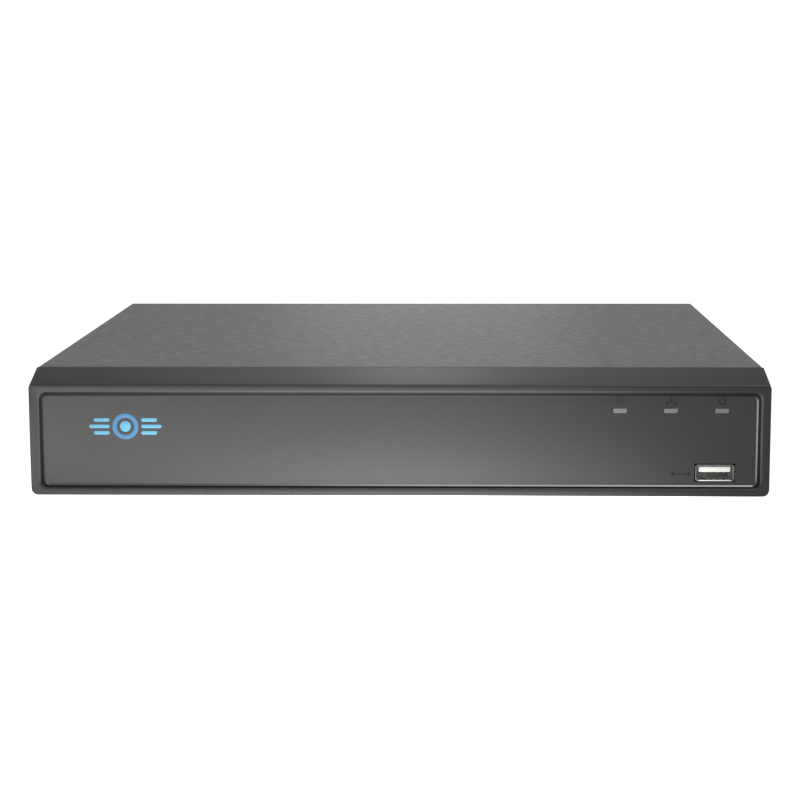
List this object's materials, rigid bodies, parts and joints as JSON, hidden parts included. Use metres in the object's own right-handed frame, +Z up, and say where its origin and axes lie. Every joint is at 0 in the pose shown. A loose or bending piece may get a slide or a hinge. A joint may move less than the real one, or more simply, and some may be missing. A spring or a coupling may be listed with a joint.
{
  "type": "digital video recorder",
  "caption": "Low black recorder box with a recessed plastic front, indicator windows, a USB port, vented steel cover and rear video and network sockets.",
  "frame": {"origin": "on the table, under the centre of the whole box", "axes": "+X to the right seen from the front, +Y towards the rear sockets, +Z up; the front panel faces -Y"},
  "size_m": [0.26, 0.238, 0.0476],
  "materials": {
    "steel_paint": "fine-textured black powder coat, satin",
    "bezel_plastic": "semi-gloss black moulding",
    "fascia_plastic": "satin black panel",
    "lamp_plastic": "frosted grey",
    "circuit_board": "green solder mask",
    "rubber": "matt",
    "aluminium": "satin",
    "casting": "as cast",
    "platter": "polished",
    "black_plastic": "matt moulding",
    "blue_plastic": "matt moulding",
    "green_plastic": "matt moulding",
    "red_plastic": "matt jacket",
    "grey_plastic": "matt ribbon",
    "plated": "bright nickel plate",
    "zinc": "zinc plate"
  },
  "bodies": {
    "case": {"audio_sockets": "plated", "base_pan": "steel_paint", "board_screw_1": "zinc", "board_screw_2": "zinc", "board_screw_3": "zinc", "board_screw_4": "zinc", "clock_cell": "plated", "disk_base": "casting", "disk_board": "circuit_board", "disk_lid": "aluminium", "disk_magnets": "zinc", "disk_power_lead": "black_plastic", "disk_screw_1": "zinc", "disk_screw_2": "zinc", "disk_screw_3": "zinc", "disk_screw_4": "zinc", "fan_frame": "black_plastic", "fan_lead": "black_plastic", "fan_screw_1": "zinc", "fan_screw_2": "zinc", "fascia_panel": "fascia_plastic", "foot_front_left": "rubber", "foot_front_right": "rubber", "foot_rear_left": "rubber", "foot_rear_right": "rubber", "front_bezel": "bezel_plastic", "front_board": "circuit_board", "front_board_screw_1": "zinc", "front_board_screw_2": "zinc", "front_lead": "grey_plastic", "front_usb_socket": "plated", "ground_screw": "zinc", "hdmi_socket": "plated", "heat_sink": "aluminium", "lan_socket": "plated", "light_pipe_1": "lamp_plastic", "light_pipe_2": "lamp_plastic", "light_pipe_3": "lamp_plastic", "main_board": "circuit_board", "power_inlet": "black_plastic", "rear_panel": "steel_paint", "rear_usb_socket": "plated", "sata_lead": "red_plastic", "serial_header": "green_plastic", "switch_body": "black_plastic", "vga_socket": "blue_plastic", "video_housing": "black_plastic", "video_socket_1": "plated", "video_socket_2": "plated", "video_socket_3": "plated", "video_socket_4": "plated"},
    "cover": {"top_cover": "steel_paint", "cover_screw_1": "zinc", "cover_screw_2": "zinc", "cover_screw_3": "zinc"},
    "fan_wheel": {"fan_rotor": "black_plastic"},
    "platters": {"disk_platters": "platter"},
    "head_arm": {"disk_head_arm": "aluminium"},
    "rocker": {"switch_rocker": "black_plastic"},
    "terminal_plug": {"serial_plug": "green_plastic"}
  },
  "joints": [
    {"name": "cover_slide", "type": "slide", "parent": "case", "child": "cover", "axis": [0, 1, 0], "range_m": [0, 0.235]},
    {"name": "fan_spin", "type": "hinge", "parent": "case", "child": "fan_wheel", "pos_m": [0.104, 0.09905, 0.0248], "axis": [0, 1, 0], "continuous": true},
    {"name": "platter_spin", "type": "hinge", "parent": "case", "child": "platters", "pos_m": [-0.0702, -0.05135, 0.02], "axis": [0, 0, 1], "continuous": true},
    {"name": "head_arm_swing", "type": "hinge", "parent": "case", "child": "head_arm", "pos_m": [-0.0172, -0.02935, 0.02], "axis": [0, 0, 1], "range_deg": [-30, 0]},
    {"name": "switch_rock", "type": "hinge", "parent": "case", "child": "rocker", "pos_m": [0.056, 0.10245, 0.0236], "axis": [1, 0, 0], "range_deg": [0, 22]},
    {"name": "terminal_pull", "type": "slide", "parent": "case", "child": "terminal_plug", "axis": [0, 1, 0], "range_m": [0, 0.012]}
  ]
}
